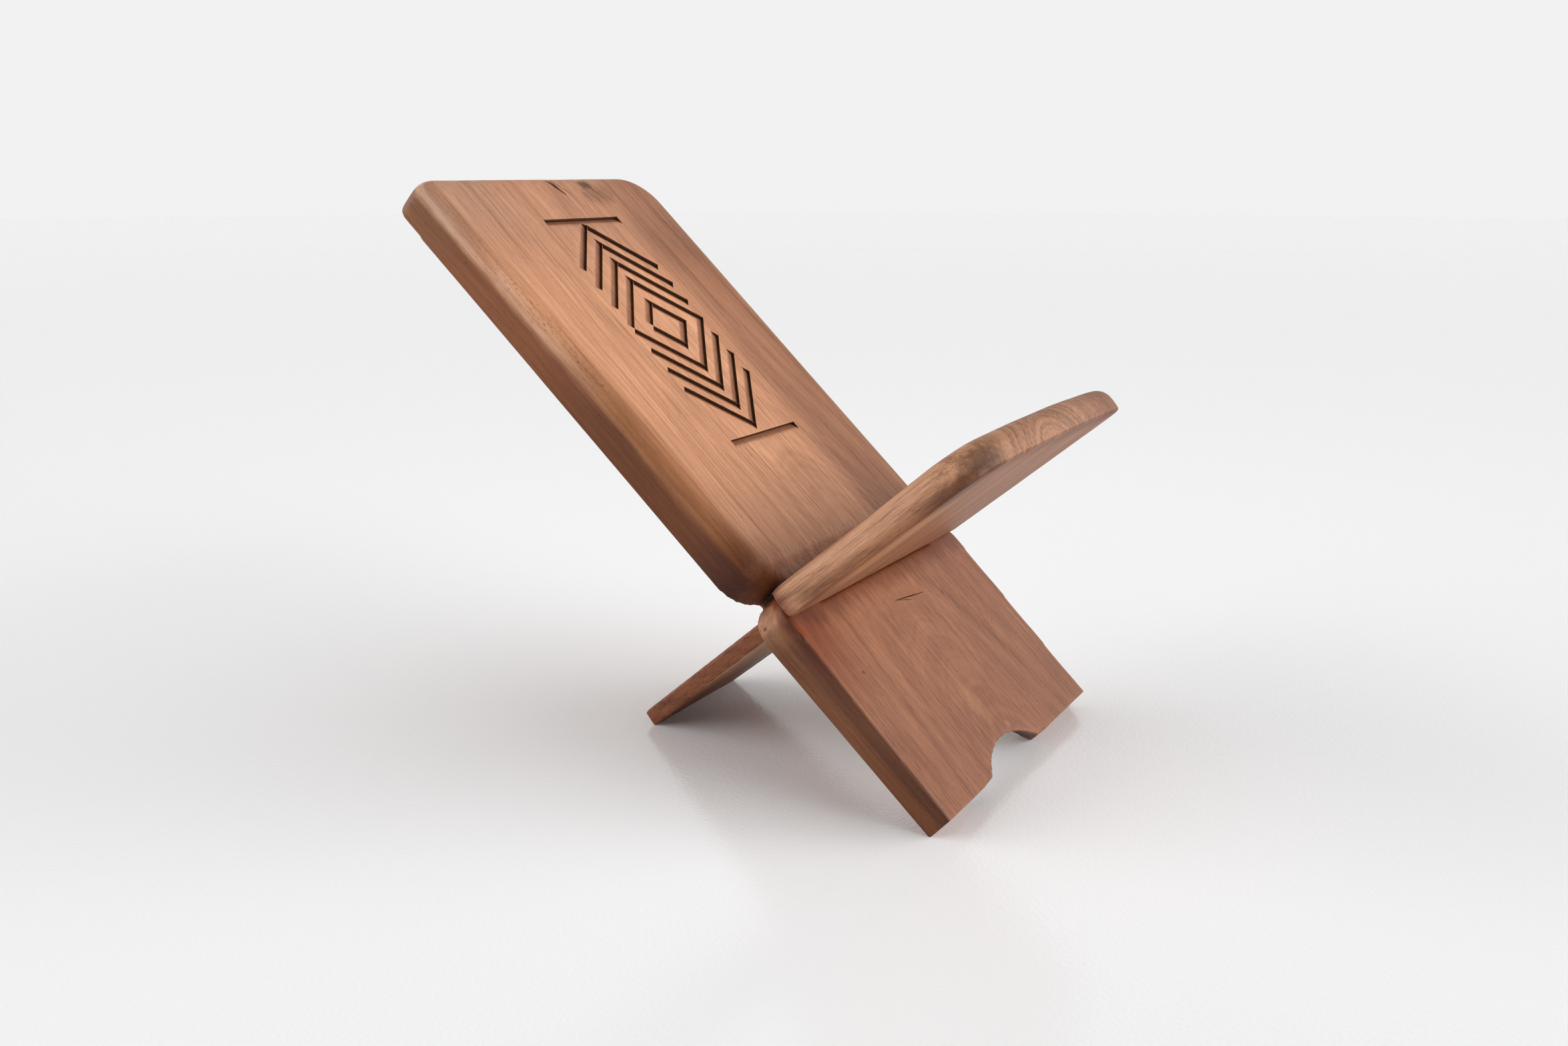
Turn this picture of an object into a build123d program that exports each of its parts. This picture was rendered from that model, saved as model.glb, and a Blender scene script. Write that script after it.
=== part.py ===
"""African birthing chair: two planks of one hardwood, locked together without glue or fixings.

The long back plank leans rearwards on its lower edge. The seat plank rises forwards through a slot
in it: its narrow tail is the rear leg, and its shoulders stop against the front of the back plank.
Each plank is drawn flat in a frame of its own, X across, Y up along the wood and Z through it
towards the sitter, and is then turned to its lean. Millimetres; +Z up and the front at -Y.
"""
from build123d import *
import os
from math import atan2, cos, degrees, radians, sin

# The whole chair
plank_width = 350.0        # width of the back plank
back_lean = 42.6           # rear face of the back plank, degrees above the floor
seat_tilt = 39.6           # underside of the seat plank, degrees above the floor
foot_wear = 1.5            # depth of wood worn off each foot's lowest edge

# Back plank, measured along the wood from its lowest edge
back_length = 731.5
slot_distance = 215.3      # lower face of the slot, on the rear face of the plank
notch_rise = 20.0          # bottom of the side notches above the lower face of the slot
notch_gap = 6.0            # sawn part of the notches, between their rounded lips
notch_radius = 33.0        # rounded lips, which also set how far the notches cut in
leg_foot_thickness = 26.0
leg_slot_thickness = 35.0
rest_low_thickness = 40.0
rest_top_thickness = 46.0
rest_top_corner = 27.0
rest_round = 22.0          # rounded front edge of the backrest
rest_back_round = 2.5      # softened rear edge of the backrest
leg_round = 3.0            # softened front edge of the leg
neck_lap = 25.0            # how far the neck runs on behind the lips of the notches

# Arched cut in the foot of the back plank, level from front to rear and a little off centre
arch_radius = 121.0
arch_rise = 31.0           # crown of the arch above the floor
arch_offset = -17.0

# Seat plank
tail_thickness = 17.2
tail_foot_width = 151.0
tail_slot_width = 235.0    # where the tail enters the slot
tail_round = 2.0
board_length = 220.0       # seat board in front of the back plank, at its front corners
board_bow = 13.0           # how far the middle of the front edge stands out
board_rear_width = 348.0
board_front_width = 370.0
board_drop = 2.0           # underside of the board below the underside of the tail
board_rear_thickness = 28.4
board_front_thickness = 31.0
board_right_corner = 46.0  # front corners, as the sitter sees them
board_left_corner = 23.0
board_round = 18.0         # rounded upper edge
board_under_round = 1.5    # softened lower edge

# Running clearances
slot_clearance = 0.4       # round the tail, on each side
shoulder_clearance = 0.3   # between the seat's shoulders and the back plank

# Worked out from the sizes above
leg_slope = (leg_slot_thickness - leg_foot_thickness) / slot_distance
notch_bottom = slot_distance + notch_rise
rest_bottom = notch_bottom + notch_gap
neck_width = plank_width - 2 * notch_radius
slot_height = slot_distance * sin(radians(back_lean))
slot_depth = slot_distance * cos(radians(back_lean))
tail_reach = slot_height / sin(radians(seat_tilt))
foot_span = slot_depth + tail_reach * cos(radians(seat_tilt))
crossing = 180.0 - back_lean - seat_tilt - degrees(atan2(leg_slope, 1.0))
shoulder_reach = tail_reach + leg_slot_thickness / sin(radians(crossing))
tail_slope = (tail_slot_width - tail_foot_width) / (2 * shoulder_reach)
far = 2 * back_length      # longer than anything that is cut

back_place = Pos(0, 0, -foot_wear) * Rot(X=back_lean)
seat_place = Plane(
    origin=(0, foot_span, -foot_wear),
    x_dir=(-1, 0, 0),
    z_dir=(0, sin(radians(seat_tilt)), cos(radians(seat_tilt))),
).location


def leg_front(distance):
    """Height of the leg's front face above the rear face, at a distance up the wood."""
    return leg_foot_thickness + leg_slope * distance


def side_slab(profile, width):
    """Solid whose outline is seen from the side, as (along, through) points, centred on X."""
    face = make_face(Polyline([(0, along, through) for along, through in profile], close=True))
    return extrude(face, amount=width / 2, dir=(1, 0, 0), both=True)


def flat_panel(outline, profile):
    """Panel with one outline from the front and another from the side."""
    return extrude(outline, amount=far) & side_slab(profile, far)


def front_panel_outline(width, low, high):
    """Upright rectangle across the plank's middle."""
    return Pos(0, (low + high) / 2) * Rectangle(width, high - low)


def make_leg():
    """Lower panel of the back plank: the front leg, with its arched foot and rounded shoulders."""
    outline = front_panel_outline(plank_width, 0, notch_bottom)
    outline = fillet(outline.vertices().group_by(Axis.Y)[-1], notch_radius)
    profile = [(0, 0), (0, leg_front(0)), (notch_bottom, leg_front(notch_bottom)), (notch_bottom, 0)]
    leg = flat_panel(outline, profile)
    front = leg.faces().sort_by(Axis.Z)[-1]
    sides = [edge for edge in front.edges() if edge.center().Y > foot_wear]
    return fillet(sides, leg_round)


def make_neck():
    """Narrow waist between the side notches, which carries the slot."""
    low = notch_bottom - neck_lap
    high = rest_bottom + neck_lap
    outline = front_panel_outline(neck_width, low, high)
    profile = [(low, 0), (low, leg_front(low)), (high, leg_front(high)), (high, 0)]
    return flat_panel(outline, profile)


def make_rest():
    """Upper panel of the back plank: the backrest, thicker and rounded towards the sitter."""
    outline = front_panel_outline(plank_width, rest_bottom, back_length)
    outline = fillet(outline.vertices().group_by(Axis.Y)[0], notch_radius)
    outline = fillet(outline.vertices().group_by(Axis.Y)[-1], rest_top_corner)
    profile = [
        (rest_bottom, 0),
        (rest_bottom, rest_low_thickness),
        (back_length, rest_top_thickness),
        (back_length, 0),
    ]
    rest = flat_panel(outline, profile)
    rest = fillet(rest.faces().sort_by(Axis.Z)[-1].edges(), rest_round)
    return fillet(rest.faces().sort_by(Axis.Z)[0].edges(), rest_back_round)


def tail_outline(high, spare=0.0):
    """Tapering tail from its foot to a distance up the wood, wider by spare on each side."""
    foot = tail_foot_width / 2 + spare
    top = foot + tail_slope * high
    return make_face(Polyline([(-foot, 0), (foot, 0), (top, high), (-top, high)], close=True))


def make_slot_cut():
    """Space that the tail passes through, with its running clearance, in the chair's own place."""
    outline = tail_outline(shoulder_reach + board_length, slot_clearance)
    cut = extrude(outline, amount=tail_thickness / 2 + slot_clearance, both=True)
    return seat_place * Pos(0, 0, tail_thickness / 2) * cut


def make_board():
    """Seat board, shaped to stand against the front of the back plank."""
    low = tail_reach
    corner_line = shoulder_reach + board_length
    sides = Polyline(
        [
            (-board_front_width / 2, corner_line),
            (-board_rear_width / 2, low),
            (board_rear_width / 2, low),
            (board_front_width / 2, corner_line),
        ]
    )
    bow = ThreePointArc(
        (-board_front_width / 2, corner_line),
        (0, corner_line + board_bow),
        (board_front_width / 2, corner_line),
    )
    outline = make_face(sides.edges() + bow.edges())
    left, right = outline.vertices().group_by(Axis.Y)[-1].sort_by(Axis.X)
    outline = fillet(left, board_left_corner)
    outline = fillet(outline.vertices().sort_by_distance(right)[0], board_right_corner)
    rise = (board_front_thickness - board_rear_thickness) / board_length
    high = corner_line + board_bow
    profile = [
        (low, 0),
        (low, board_rear_thickness - rise * (shoulder_reach - low)),
        (high, board_front_thickness + rise * board_bow),
        (high, 0),
    ]
    board = seat_place * Pos(0, 0, -board_drop) * flat_panel(outline, profile)
    return seat_place.inverse() * (board - back_place * behind_front())


def behind_front():
    """Everything behind the leg's front face, up to the shoulders' clearance from it."""
    gap = shoulder_clearance
    profile = [(-far, -far), (-far, leg_front(-far) + gap), (far, leg_front(far) + gap), (far, -far)]
    return side_slab(profile, far)


def round_board(board):
    """Round the board's edges, except where its shoulders meet the back plank."""
    beyond = shoulder_reach + board_round
    top = board.faces().sort_by(Axis.Z)[-1]
    board = fillet([edge for edge in top.edges() if edge.center().Y > beyond], board_round)
    under = board.faces().sort_by(Axis.Z)[0]
    return fillet([edge for edge in under.edges() if edge.center().Y > beyond], board_under_round)


def make_tail():
    """Tail behind the seat board, which is the chair's rear leg."""
    tail = extrude(tail_outline(shoulder_reach + board_round), amount=tail_thickness)
    long_edges = [edge for edge in tail.edges() if edge.length > shoulder_reach]
    return fillet(long_edges, tail_round)


def make_arch_cut():
    """Arch through the foot of the back plank, in the chair's own place."""
    return Pos(arch_offset, 0, arch_rise - arch_radius) * Rot(X=90) * Cylinder(arch_radius, far)


def stand(plank):
    """Take off the wood that wear has flattened at the floor."""
    return split(plank, bisect_by=Plane.XY, keep=Keep.TOP)


back_plank = back_place * (make_leg() + make_neck() + make_rest())
back_plank = stand(back_plank - make_slot_cut() - make_arch_cut())
seat_plank = stand(seat_place * (round_board(make_board()) + make_tail()))

chair_box = Compound([back_plank, seat_plank]).bounding_box()
centre = Pos(-chair_box.center().X, -chair_box.center().Y, 0)

os.makedirs("parts", exist_ok=True)
for node, plank in {"back_plank": back_plank, "seat_plank": seat_plank}.items():
    plank = centre * plank
    plank.label = node
    export_step(plank, f"parts/{node}.step")
    box = plank.bounding_box()
    print(f"{node}: {box.size.X:.1f} x {box.size.Y:.1f} x {box.size.Z:.1f} mm")
print(f"foot span {foot_span:.1f}, tail reach {tail_reach:.1f}, shoulder reach {shoulder_reach:.1f}")
print(f"shift {-chair_box.center().X:.3f}, {-chair_box.center().Y:.3f}")
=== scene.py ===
"""African birthing chair, dressed: two planks of oiled hardwood that lock together, the back one carved.

The back plank leans rearwards on its foot, and the seat plank rises forwards through a slot in it. Each
plank is shaped lying flat, in a frame of its own (X across, Y up the wood, Z through it towards the
sitter), and is then turned to its lean. Lengths are in metres and angles in degrees. In the chair's own
frame +Z is up and the sitter faces -Y.
"""

import logging
import math
from contextlib import contextmanager
from dataclasses import dataclass, replace
from enum import Enum
from typing import Any, Callable, Iterator, Optional, Sequence, Union

import bmesh
import bpy
from mathutils import Matrix, Vector, noise

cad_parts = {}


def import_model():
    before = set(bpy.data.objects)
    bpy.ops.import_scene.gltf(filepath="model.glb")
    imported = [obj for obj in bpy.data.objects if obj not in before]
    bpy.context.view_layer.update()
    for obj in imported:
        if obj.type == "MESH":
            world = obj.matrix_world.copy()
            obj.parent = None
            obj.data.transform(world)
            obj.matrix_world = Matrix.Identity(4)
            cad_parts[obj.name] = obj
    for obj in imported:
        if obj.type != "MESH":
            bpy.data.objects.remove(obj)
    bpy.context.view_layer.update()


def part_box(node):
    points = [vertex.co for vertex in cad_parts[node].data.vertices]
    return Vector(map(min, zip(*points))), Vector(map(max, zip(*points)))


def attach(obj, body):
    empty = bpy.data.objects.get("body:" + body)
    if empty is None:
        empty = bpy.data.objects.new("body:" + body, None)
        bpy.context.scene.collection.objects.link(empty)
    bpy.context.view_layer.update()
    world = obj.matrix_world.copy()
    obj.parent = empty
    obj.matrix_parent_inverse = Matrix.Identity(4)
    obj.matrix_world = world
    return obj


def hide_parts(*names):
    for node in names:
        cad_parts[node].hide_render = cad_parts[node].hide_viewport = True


log = logging.getLogger("birthing_chair")

MM = 0.001
TINY = 1e-6
CORNER_STEPS = 12    # facets in a rounded corner of an outline
EDGE_STEPS = 10      # facets across a rounded edge
ARCH_STEPS = 128     # facets round the cutter of the foot's arch
CRACK_STEPS = 10     # facets round a drying crack
FLOOR_STEPS = 96     # facets round the studio's floor

DOWN = Vector((0.0, 0.0, -1.0))

Number = Union[float, "Shade"]
Colour = tuple[float, float, float]
Point = tuple[float, float]
Range = tuple[float, float]


class Combine(Enum):
    """How one solid changes another."""

    JOIN = "UNION"
    REMOVE = "DIFFERENCE"


class Rounded(Enum):
    """What a bevel rounds."""

    EDGES = "EDGES"
    CORNERS = "VERTICES"


class Skin(Enum):
    """Which of a plank's materials a face takes."""

    WORN = 0     # the handled, oiled surface
    # groove and crack walls, darkened for dirt in the cuts and for painted shade
    CUT_DIRT_AND_SHADE = 1      # the dark walls of a groove or a crack


class Rubbing(Enum):
    """How often each part of a plank is rubbed smooth."""

    ALL_OVER = 2
    CORNER = 6
    ARCH_LIP = 12
    KNOB = 16


class Blend(Enum):
    """How one colour lies over another."""

    COVER = "MIX"
    TINT = "MULTIPLY"


class Blemish(Enum):
    """Kinds of mark in the wood; knots share their kind with painted shade in a crevice."""

    KNOT_AND_SHADE = "knot"
    STAIN = "stain"
    GLOW = "glow"
    PORES = "pores"


# --------------------------------------------------------------------------------------------------
# The bench: solids and how they are shaped
# --------------------------------------------------------------------------------------------------


def only(kind: type, geom: Sequence) -> list:
    """The items of one kind among the mixed geometry that an operator made."""
    return [item for item in geom if isinstance(item, kind)]


def add_object(name: str, data: bpy.types.ID) -> bpy.types.Object:
    """Show a mesh, a lamp or a camera in the scene.

    Args:
        name: The object's name.
        data: What it shows.

    Returns:
        The object.
    """
    obj = bpy.data.objects.new(name, data)
    bpy.context.scene.collection.objects.link(obj)
    return obj


def add_mesh(name: str, mesh: bmesh.types.BMesh) -> bpy.types.Object:
    """Show a bmesh in the scene.

    Args:
        name: The object's name.
        mesh: The bmesh, which is used up.

    Returns:
        The object.
    """
    data = bpy.data.meshes.new(name)
    mesh.to_mesh(data)
    mesh.free()
    return add_object(name, data)


@dataclass(frozen=True)
class Corner:
    """A corner of a panel's outline, and the radius that rounds it."""

    x: float
    y: float
    radius: float = 0.0


def make_panel(
    corners: Sequence[Corner], front: Callable[[float], float], rounding: float = 0.0
) -> bmesh.types.BMesh:
    """Shape a panel that lies on Z = 0.

    Args:
        corners: The outline, anticlockwise from the front.
        front: Height of the front face at a distance up the wood.
        rounding: Radius of the front edges.

    Returns:
        The closed panel.
    """
    mesh = bmesh.new()
    for corner in corners:
        mesh.verts.new((corner.x, corner.y, 0.0))
    mesh.faces.new(mesh.verts)
    for vert, corner in zip(mesh.verts[:], corners):
        if corner.radius:
            bevel(mesh, [vert], corner.radius, CORNER_STEPS, Rounded.CORNERS)
    raised = bmesh.ops.extrude_face_region(mesh, geom=mesh.faces[:])["geom"]
    for vert in only(bmesh.types.BMVert, raised):
        vert.co.z = front(vert.co.y)
    if rounding:
        bevel(mesh, rim_edges(mesh), rounding, EDGE_STEPS, Rounded.EDGES)
    return mesh


def rim_edges(mesh: bmesh.types.BMesh) -> list[bmesh.types.BMEdge]:
    """Edges round a panel's front face."""
    return [edge for edge in mesh.edges if min(vert.co.z for vert in edge.verts) > TINY]


def bevel(mesh: bmesh.types.BMesh, geom: list, offset: float, segments: int, what: Rounded) -> None:
    """Round edges, or corners in the plane.

    Args:
        mesh: The mesh to change.
        geom: The edges or vertices to round.
        offset: Distance that the rounding takes from each side.
        segments: Facets in the rounding.
        what: Whether the geometry is edges or corners.
    """
    bmesh.ops.bevel(
        mesh,
        geom=geom,
        offset=offset,
        offset_type="OFFSET",
        segments=segments,
        profile=0.5,
        affect=what.value,
        clamp_overlap=False,
        material=-1,
    )


@dataclass(frozen=True)
class Ball:
    """A round region that hands have worn."""

    centre: Vector
    radius: float

    def holds(self, place: Vector) -> bool:
        """Whether a point is in the region."""
        return (place - self.centre).length < self.radius


class Workpiece:
    """A closed solid on the bench, in its plank's flat frame."""

    def __init__(self, name: str, mesh: bmesh.types.BMesh) -> None:
        """Put a finished bmesh on the bench as an object.

        Args:
            name: The object's name.
            mesh: The closed mesh, which is used up.
        """
        bmesh.ops.recalc_face_normals(mesh, faces=mesh.faces)
        self.obj = add_mesh(name, mesh)
        for _ in Skin:
            self.obj.data.materials.append(None)

    @contextmanager
    def opened(self) -> Iterator[bmesh.types.BMesh]:
        """Lend the mesh for editing, and store it afterwards.

        Yields:
            The open mesh.
        """
        mesh = bmesh.new()
        mesh.from_mesh(self.obj.data)
        yield mesh
        mesh.to_mesh(self.obj.data)
        mesh.free()
        self.obj.data.update()

    def _settle(self) -> None:
        """Make what the modifiers show the object's own mesh."""
        shown = self.obj.evaluated_get(bpy.context.evaluated_depsgraph_get())
        old = self.obj.data
        self.obj.data = bpy.data.meshes.new_from_object(shown)
        self.obj.modifiers.clear()
        bpy.data.meshes.remove(old)

    def combine(self, other: "Workpiece", how: Combine) -> None:
        """Join another solid to this one, or cut it out. The other solid is used up.

        Args:
            other: The solid that changes this one.
            how: Whether it is joined or removed.
        """
        modifier = self.obj.modifiers.new("combine", "BOOLEAN")
        modifier.operation = how.value
        modifier.object = other.obj
        modifier.solver = "EXACT"
        self._settle()
        bpy.data.objects.remove(other.obj)

    def even_out(self, spacing: float) -> None:
        """Cover the surface with even, square facets.

        Args:
            spacing: Size of a facet.
        """
        modifier = self.obj.modifiers.new("even out", "REMESH")
        modifier.mode = "VOXEL"
        modifier.voxel_size = spacing
        self._settle()

    def rub(self, amount: Rubbing, where: Callable[[Vector], bool] = lambda place: True) -> None:
        """Wear the surface smooth in one region.

        Args:
            amount: How often the region is rubbed.
            where: True for a point of the region.
        """
        with self.opened() as mesh:
            worn = [vert for vert in mesh.verts if where(vert.co)]
            for _ in range(amount.value):
                bmesh.ops.smooth_vert(
                    mesh, verts=worn, factor=0.5, use_axis_x=True, use_axis_y=True, use_axis_z=True
                )

    def press(self, move: Callable[[Vector, Vector], Vector]) -> None:
        """Move each point of the surface.

        Args:
            move: The step that a point takes, from its place and its normal.
        """
        with self.opened() as mesh:
            mesh.normal_update()
            steps = [move(vert.co, vert.normal) for vert in mesh.verts]
            for vert, step in zip(mesh.verts, steps):
                vert.co += step

    def trim(self, point: Vector, outward: Vector) -> None:
        """Saw off what lies beyond a plane, and close the cut.

        Args:
            point: A point on the plane.
            outward: The plane's normal, towards what is sawn off.
        """
        with self.opened() as mesh:
            cut = bmesh.ops.bisect_plane(
                mesh,
                geom=mesh.verts[:] + mesh.edges[:] + mesh.faces[:],
                dist=TINY,
                plane_co=point,
                plane_no=outward,
                clear_outer=True,
            )
            bmesh.ops.holes_fill(mesh, edges=only(bmesh.types.BMEdge, cut["geom_cut"]), sides=0)

    def place(self, matrix: Matrix) -> None:
        """Carry the mesh to its place, and leave the object at the origin."""
        self.obj.data.transform(matrix)
        self.obj.data.update()

    def stand(self, matrix: Matrix) -> None:
        """Carry the plank to its lean, and saw its foot level with the floor."""
        self.place(matrix)
        self.trim(Vector(), DOWN)

    def finish(self, name: str, crease: float, skins: Sequence[bpy.types.Material]) -> bpy.types.Object:
        """Shade the surface smooth between its sharp edges, and give it its name and materials.

        Args:
            name: The object's name.
            crease: Angle from which an edge is sharp.
            skins: One material for each Skin, in order.

        Returns:
            The finished object.
        """
        self.obj.name = name
        data = self.obj.data
        data.polygons.foreach_set("use_smooth", [True] * len(data.polygons))
        data.set_sharp_from_angle(angle=math.radians(crease))
        for slot, material in enumerate(skins):
            data.materials[slot] = material
        return self.obj


@dataclass(frozen=True)
class HandTooling:
    """The slight waves that an adze and a scraper leave on a plank."""

    seed: float
    depth: float = 0.45 * MM
    across: float = 0.055
    along: float = 0.16

    def move(self, place: Vector, normal: Vector) -> Vector:
        """Step inwards that a point of the surface takes.

        Args:
            place: Where the point is.
            normal: Which way the surface faces there.

        Returns:
            The step.
        """
        spot = Vector((place.x / self.across, place.y / self.along, place.z / self.across + self.seed))
        share = 0.5 + 0.5 * noise.noise(spot)
        return -normal * self.depth * share


# --------------------------------------------------------------------------------------------------
# Carving
# --------------------------------------------------------------------------------------------------


@dataclass(frozen=True)
class Stroke:
    """One groove: an upright wall along its line, and a ramp that rises to the sitter's right of it."""

    start: Point
    end: Point

    def ramp_side(self) -> Vector:
        """Direction across the groove in which the ramp rises, which is downwards for a level groove."""
        away = Vector((self.end[1] - self.start[1], self.start[0] - self.end[0], 0.0)).normalized()
        return -away if away.x > TINY or (abs(away.x) <= TINY and away.y > 0) else away


@dataclass(frozen=True)
class Ornament:
    """A lozenge between nested chevrons, carved in wedge-shaped grooves."""

    centre: Point = (0.0, 0.5235)
    half_width: float = 0.060
    half_lozenge: float = 0.058
    inner_share: float = 0.48
    chevron_step: float = 0.0245
    chevrons: int = 3
    bar_gap: float = 0.010
    groove_width: float = 0.0105
    groove_depth: float = 0.0040
    clearance: float = 0.004     # how far the tool stands out of the wood

    def strokes(self) -> list[Stroke]:
        """Every groove of the ornament, round its centre.

        Returns:
            The two lozenges, then the chevrons and the bar above them and below them.
        """
        width, height = self.half_width, self.half_lozenge
        grooves = self.lozenge(width, height)
        grooves += self.lozenge(width * self.inner_share, height * self.inner_share)
        for sign in (1, -1):
            for step in range(1, self.chevrons + 1):
                rise = sign * step * self.chevron_step
                grooves += self.chevron(width, sign * height, rise)
            bar = sign * (height + self.chevrons * self.chevron_step + self.bar_gap)
            grooves.append(Stroke((-sign * width, bar), (sign * width, bar)))
        return grooves

    @staticmethod
    def lozenge(width: float, height: float) -> list[Stroke]:
        """Four grooves round a lozenge."""
        points = [(width, 0.0), (0.0, height), (-width, 0.0), (0.0, -height)]
        return [Stroke(points[i - 1], points[i]) for i in range(len(points))]

    @staticmethod
    def chevron(width: float, height: float, rise: float) -> list[Stroke]:
        """Two grooves that meet over the lozenge's point."""
        apex = (0.0, height + rise)
        return [Stroke((width, rise), apex), Stroke(apex, (-width, rise))]

    def cutter(self, front: Callable[[float], float]) -> Workpiece:
        """Make the tool that carves every groove.

        Args:
            front: Height of the wood's front face at a distance up the wood.

        Returns:
            The wedges of all the grooves as one solid, with its dark faces marked.
        """
        first, *others = (Workpiece("carving tool", self.wedge(stroke, front)) for stroke in self.strokes())
        for other in others:
            first.combine(other, Combine.JOIN)
        return first

    def wedge(self, stroke: Stroke, front: Callable[[float], float]) -> bmesh.types.BMesh:
        """Make the wedge that carves one groove.

        Args:
            stroke: The groove.
            front: Height of the wood's front face at a distance up the wood.

        Returns:
            The closed wedge, with its dark faces marked.
        """
        mesh = bmesh.new()
        start, end = (
            Vector((x + self.centre[0], y + self.centre[1], front(y + self.centre[1])))
            for x, y in (stroke.start, stroke.end)
        )
        run = end - start
        away = stroke.ramp_side()
        lift = Vector((0.0, 0.0, self.clearance))
        spread = self.groove_width * (1 + self.clearance / self.groove_depth)
        bottom = mesh.verts.new(start - Vector((0.0, 0.0, self.groove_depth)))
        top = mesh.verts.new(start + lift)
        far = mesh.verts.new(start + lift + away * spread)
        section = mesh.faces.new((bottom, top, far))
        moved = bmesh.ops.extrude_face_region(mesh, geom=[section], use_keep_orig=True)["geom"]
        carried = only(bmesh.types.BMVert, moved)
        bmesh.ops.translate(mesh, verts=carried, vec=run)
        for face in set(bottom.link_faces) | set(top.link_faces):
            is_ramp = bottom in face.verts and far in face.verts and top not in face.verts
            face.material_index = (Skin.WORN if is_ramp else Skin.CUT_DIRT_AND_SHADE).value
        for face in {face for vert in carried for face in vert.link_faces if len(face.verts) == 3}:
            face.material_index = Skin.CUT_DIRT_AND_SHADE.value
        return mesh


@dataclass(frozen=True)
class Check:
    """A short drying crack in a plank's face."""

    middle: Vector
    angle: float            # from X, in the plank's plane
    length: float
    width: float
    depth: float
    pinch: float = 0.1      # share of the width that is left at the bottom

    def sliver(self) -> bmesh.types.BMesh:
        """Shape the thin solid that opens the crack.

        Returns:
            The closed solid, which stands out of the wood by as much as it cuts in.
        """
        mesh = bmesh.new()
        circle = bmesh.ops.create_circle(mesh, cap_ends=True, segments=CRACK_STEPS, radius=1.0)
        lower = circle["verts"]
        section = lower[0].link_faces[0]
        moved = bmesh.ops.extrude_face_region(mesh, geom=[section], use_keep_orig=True)["geom"]
        upper = only(bmesh.types.BMVert, moved)
        spread = Matrix.Diagonal((self.length / 2, self.width / 2, 1.0, 1.0))
        bmesh.ops.transform(mesh, matrix=spread, verts=lower + upper)
        bmesh.ops.scale(mesh, vec=(1.0, self.pinch, 1.0), verts=lower)
        bmesh.ops.translate(mesh, vec=(0.0, 0.0, -self.depth), verts=lower)
        bmesh.ops.translate(mesh, vec=(0.0, 0.0, self.depth), verts=upper)
        turn = Matrix.Translation(self.middle) @ Matrix.Rotation(math.radians(self.angle), 4, "Z")
        bmesh.ops.transform(mesh, matrix=turn, verts=lower + upper)
        for face in mesh.faces:
            face.material_index = Skin.CUT_DIRT_AND_SHADE.value
        return mesh


# --------------------------------------------------------------------------------------------------
# The planks
# --------------------------------------------------------------------------------------------------


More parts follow.
